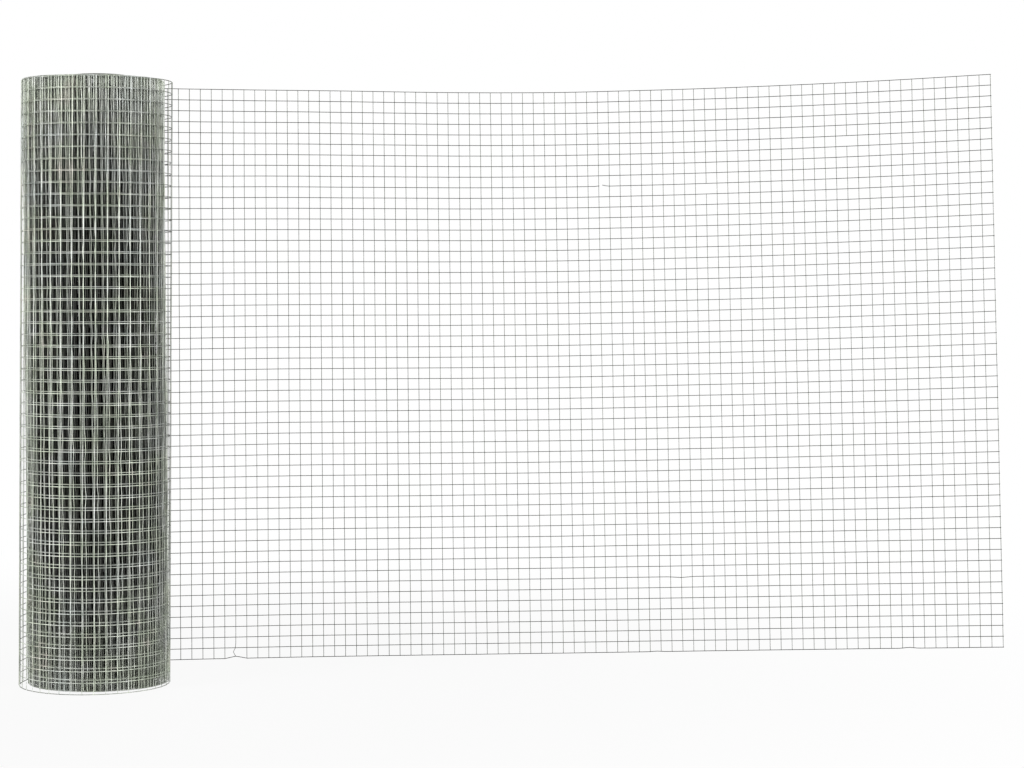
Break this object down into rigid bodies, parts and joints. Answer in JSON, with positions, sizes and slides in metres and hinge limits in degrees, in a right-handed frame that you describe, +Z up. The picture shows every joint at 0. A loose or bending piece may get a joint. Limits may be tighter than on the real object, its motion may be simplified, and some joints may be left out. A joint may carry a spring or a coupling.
{
  "type": "roll of welded wire mesh fencing",
  "caption": "Upright roll of galvanised square welded mesh fencing with a curved length drawn out beside it, for fencing, cages and guards.",
  "frame": {"origin": "axis of the roll, at the floor", "axes": "+Z up the axis of the roll, +X along the drawn-out sheet, +Y behind the roll"},
  "size_m": [1.6778, 0.4044, 1.0326],
  "materials": {
    "galvanised_wire": "galvanised, dull with a faint spangle"
  },
  "bodies": {
    "root": {"wound_roll": "galvanised_wire", "opening_turn": "galvanised_wire", "sheet_panel_1": "galvanised_wire", "sheet_panel_2": "galvanised_wire", "sheet_panel_3": "galvanised_wire", "sheet_panel_4": "galvanised_wire", "sheet_panel_5": "galvanised_wire", "sheet_panel_6": "galvanised_wire", "sheet_panel_7": "galvanised_wire", "sheet_panel_8": "galvanised_wire", "sheet_panel_9": "galvanised_wire", "sheet_panel_10": "galvanised_wire", "sheet_panel_11": "galvanised_wire"}
  },
  "joints": []
}
